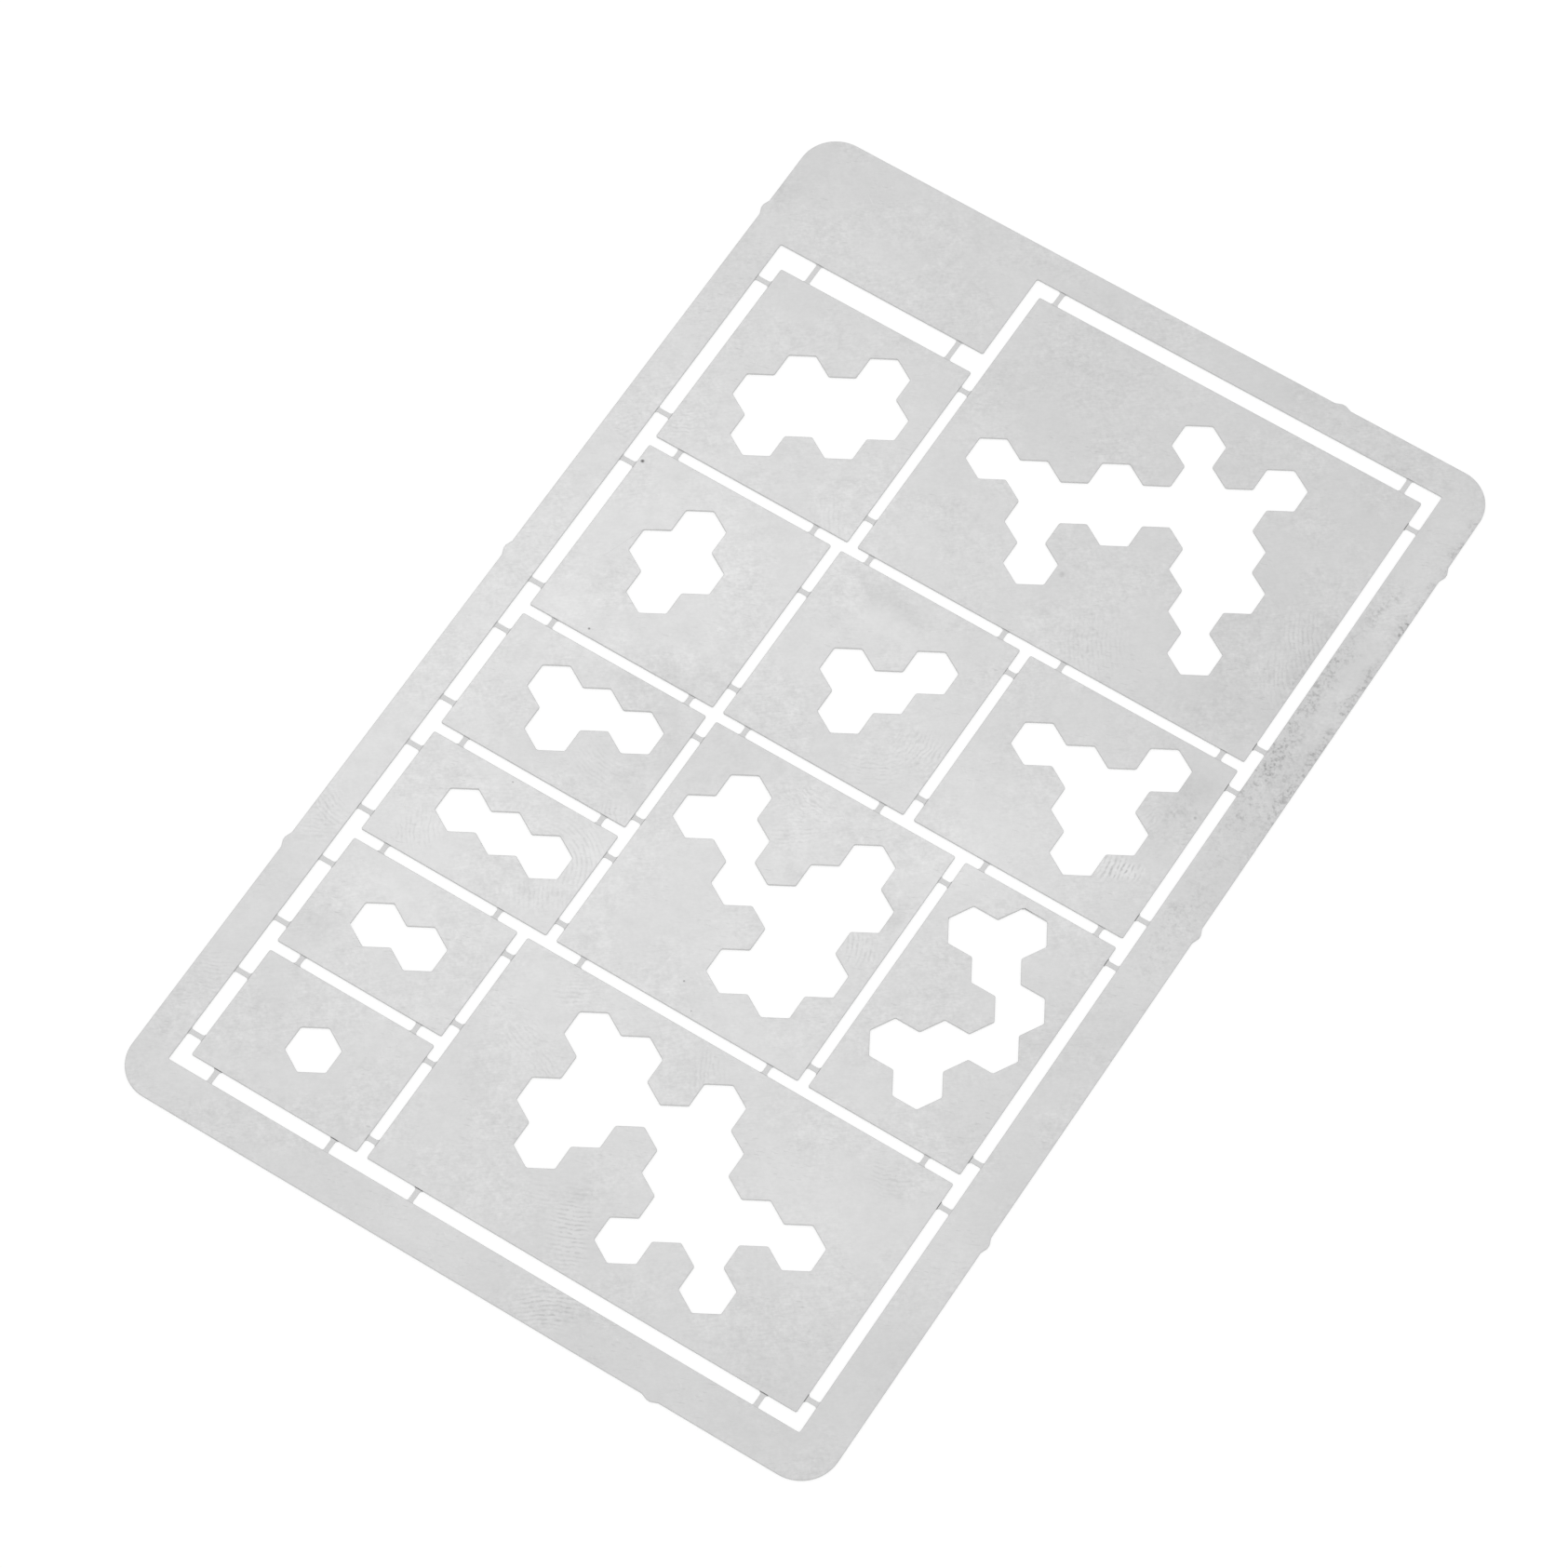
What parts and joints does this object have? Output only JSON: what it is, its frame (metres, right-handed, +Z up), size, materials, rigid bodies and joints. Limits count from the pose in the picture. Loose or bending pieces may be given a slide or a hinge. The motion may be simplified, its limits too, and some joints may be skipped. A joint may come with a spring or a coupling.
{
  "type": "camouflage stencil",
  "caption": "Thin etched steel sheet: a carrier frame holds stencil panels by half-etched tabs, and patches of hexagon cells cut through the panels mask camouflage paint on scale models.",
  "frame": {"origin": "middle of the sheet's underside, on the surface that it lies on", "axes": "+X across the sheet to the right, +Y along the sheet to its top edge, where the blank block is, +Z up out of the face that the tabs are etched from"},
  "size_m": [0.0694, 0.1106, 0.0002],
  "materials": {
    "etched_steel": "satin rolled stainless steel with faint rub marks"
  },
  "bodies": {
    "carrier_frame": {"carrier_frame": "etched_steel"},
    "left_panel_1": {"left_panel_1": "etched_steel"},
    "right_panel_1": {"right_panel_1": "etched_steel"},
    "left_panel_2": {"left_panel_2": "etched_steel"},
    "middle_panel_1": {"middle_panel_1": "etched_steel"},
    "right_panel_2": {"right_panel_2": "etched_steel"},
    "left_panel_3": {"left_panel_3": "etched_steel"},
    "left_panel_4": {"left_panel_4": "etched_steel"},
    "middle_panel_2": {"middle_panel_2": "etched_steel"},
    "right_panel_3": {"right_panel_3": "etched_steel"},
    "left_panel_5": {"left_panel_5": "etched_steel"},
    "left_panel_6": {"left_panel_6": "etched_steel"},
    "right_panel_4": {"right_panel_4": "etched_steel"}
  },
  "joints": [
    {"name": "left_panel_1_lift", "type": "slide", "parent": "carrier_frame", "child": "left_panel_1", "axis": [0, 0, 1], "range_m": [0, 0.02]},
    {"name": "right_panel_1_lift", "type": "slide", "parent": "carrier_frame", "child": "right_panel_1", "axis": [0, 0, 1], "range_m": [0, 0.02]},
    {"name": "left_panel_2_lift", "type": "slide", "parent": "carrier_frame", "child": "left_panel_2", "axis": [0, 0, 1], "range_m": [0, 0.02]},
    {"name": "middle_panel_1_lift", "type": "slide", "parent": "carrier_frame", "child": "middle_panel_1", "axis": [0, 0, 1], "range_m": [0, 0.02]},
    {"name": "right_panel_2_lift", "type": "slide", "parent": "carrier_frame", "child": "right_panel_2", "axis": [0, 0, 1], "range_m": [0, 0.02]},
    {"name": "left_panel_3_lift", "type": "slide", "parent": "carrier_frame", "child": "left_panel_3", "axis": [0, 0, 1], "range_m": [0, 0.02]},
    {"name": "left_panel_4_lift", "type": "slide", "parent": "carrier_frame", "child": "left_panel_4", "axis": [0, 0, 1], "range_m": [0, 0.02]},
    {"name": "middle_panel_2_lift", "type": "slide", "parent": "carrier_frame", "child": "middle_panel_2", "axis": [0, 0, 1], "range_m": [0, 0.02]},
    {"name": "right_panel_3_lift", "type": "slide", "parent": "carrier_frame", "child": "right_panel_3", "axis": [0, 0, 1], "range_m": [0, 0.02]},
    {"name": "left_panel_5_lift", "type": "slide", "parent": "carrier_frame", "child": "left_panel_5", "axis": [0, 0, 1], "range_m": [0, 0.02]},
    {"name": "left_panel_6_lift", "type": "slide", "parent": "carrier_frame", "child": "left_panel_6", "axis": [0, 0, 1], "range_m": [0, 0.02]},
    {"name": "right_panel_4_lift", "type": "slide", "parent": "carrier_frame", "child": "right_panel_4", "axis": [0, 0, 1], "range_m": [0, 0.02]}
  ]
}
